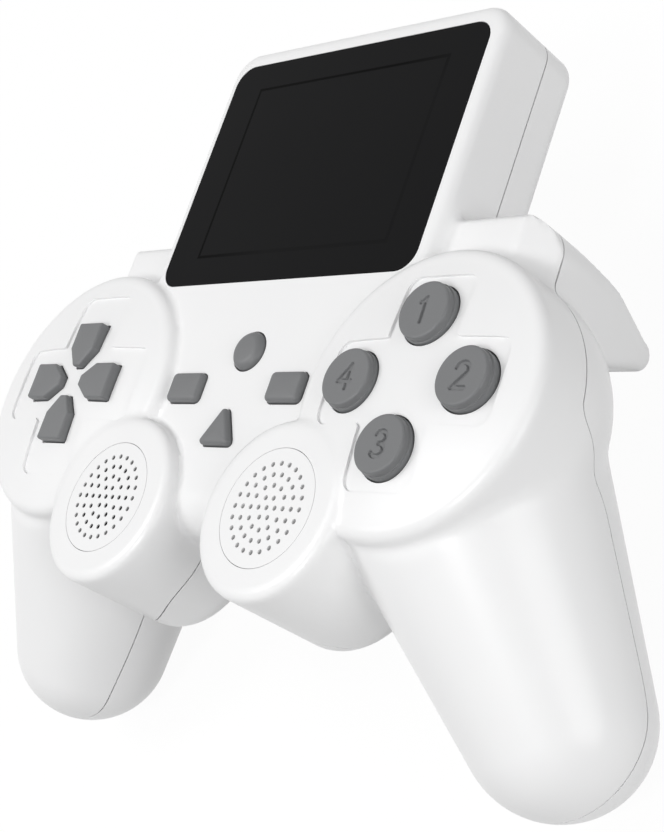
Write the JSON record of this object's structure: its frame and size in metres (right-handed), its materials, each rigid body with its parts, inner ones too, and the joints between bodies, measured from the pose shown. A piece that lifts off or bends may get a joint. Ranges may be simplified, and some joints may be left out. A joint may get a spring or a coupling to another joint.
{
  "type": "handheld game console",
  "caption": "Gamepad-shaped handheld game console with a screen block, direction keys, round buttons, speaker pods and a sliding battery door.",
  "frame": {"origin": "under the middle of the object's box, at the level of the grips' lowest points", "axes": "+X to the player's right, +Y towards the screen's top edge, +Z out of the face with the keys and the screen"},
  "size_m": [0.1534, 0.1308, 0.0546],
  "materials": {
    "shell": "fine satin white",
    "key": "satin mid grey",
    "lens": "glossy near black",
    "display": "dark display, switched off",
    "steel": "bright",
    "holder": "dark grey",
    "ribbon": "amber film",
    "board": "green laminate",
    "resin": "black resin",
    "key_rubber": "grey silicone",
    "speaker": "dark frame",
    "battery": "plain wrap",
    "contact": "plated"
  },
  "bodies": {
    "console": {"front_shell": "shell", "rear_shell": "shell", "screen_lens": "lens", "lcd_panel": "display", "lcd_tray": "steel", "lcd_holder": "holder", "lcd_ribbon": "ribbon", "main_board": "board", "processor_blob": "resin", "dpad_membrane": "key_rubber", "face_membrane": "key_rubber", "middle_membrane": "key_rubber", "speaker_grille": "shell", "dummy_grille": "shell", "speaker": "speaker", "battery": "battery", "battery_contacts": "contact", "power_switch": "steel", "charge_socket": "steel", "shell_screws": "steel", "board_screws": "steel"},
    "up_key": {"up_key": "key"},
    "down_key": {"down_key": "key"},
    "left_key": {"left_key": "key"},
    "right_key": {"right_key": "key"},
    "top_button": {"top_button": "key"},
    "bottom_button": {"bottom_button": "key"},
    "inner_button": {"inner_button": "key"},
    "outer_button": {"outer_button": "key"},
    "reset_button": {"reset_button": "key"},
    "select_button": {"select_button": "key"},
    "start_button": {"start_button": "key"},
    "volume_button": {"volume_button": "key"},
    "power_knob": {"power_knob": "holder"},
    "battery_door": {"battery_door": "shell"}
  },
  "joints": [
    {"name": "up_key_press", "type": "slide", "parent": "console", "child": "up_key", "axis": [0, 0, -1], "range_m": [0, 0.0012], "stiffness_N_per_m": 400, "deforming": ["dpad_membrane"]},
    {"name": "down_key_press", "type": "slide", "parent": "console", "child": "down_key", "axis": [0, 0, -1], "range_m": [0, 0.0012], "stiffness_N_per_m": 400, "deforming": ["dpad_membrane"]},
    {"name": "left_key_press", "type": "slide", "parent": "console", "child": "left_key", "axis": [0, 0, -1], "range_m": [0, 0.0012], "stiffness_N_per_m": 400, "deforming": ["dpad_membrane"]},
    {"name": "right_key_press", "type": "slide", "parent": "console", "child": "right_key", "axis": [0, 0, -1], "range_m": [0, 0.0012], "stiffness_N_per_m": 400, "deforming": ["dpad_membrane"]},
    {"name": "top_button_press", "type": "slide", "parent": "console", "child": "top_button", "axis": [0, 0, -1], "range_m": [0, 0.0012], "stiffness_N_per_m": 400, "deforming": ["face_membrane"]},
    {"name": "bottom_button_press", "type": "slide", "parent": "console", "child": "bottom_button", "axis": [0, 0, -1], "range_m": [0, 0.0012], "stiffness_N_per_m": 400, "deforming": ["face_membrane"]},
    {"name": "inner_button_press", "type": "slide", "parent": "console", "child": "inner_button", "axis": [0, 0, -1], "range_m": [0, 0.0012], "stiffness_N_per_m": 400, "deforming": ["face_membrane"]},
    {"name": "outer_button_press", "type": "slide", "parent": "console", "child": "outer_button", "axis": [0, 0, -1], "range_m": [0, 0.0012], "stiffness_N_per_m": 400, "deforming": ["face_membrane"]},
    {"name": "reset_button_press", "type": "slide", "parent": "console", "child": "reset_button", "axis": [0, 0, -1], "range_m": [0, 0.0012], "stiffness_N_per_m": 400, "deforming": ["middle_membrane"]},
    {"name": "select_button_press", "type": "slide", "parent": "console", "child": "select_button", "axis": [0, 0, -1], "range_m": [0, 0.0012], "stiffness_N_per_m": 400, "deforming": ["middle_membrane"]},
    {"name": "start_button_press", "type": "slide", "parent": "console", "child": "start_button", "axis": [0, 0, -1], "range_m": [0, 0.0012], "stiffness_N_per_m": 400, "deforming": ["middle_membrane"]},
    {"name": "volume_button_press", "type": "slide", "parent": "console", "child": "volume_button", "axis": [0, 0, -1], "range_m": [0, 0.0012], "stiffness_N_per_m": 400, "deforming": ["middle_membrane"]},
    {"name": "power_knob_slide", "type": "slide", "parent": "console", "child": "power_knob", "axis": [1, 0, 0], "range_m": [0, 0.002]},
    {"name": "battery_door_slide", "type": "slide", "parent": "console", "child": "battery_door", "axis": [0, 1, 0], "range_m": [0, 0.012]}
  ]
}
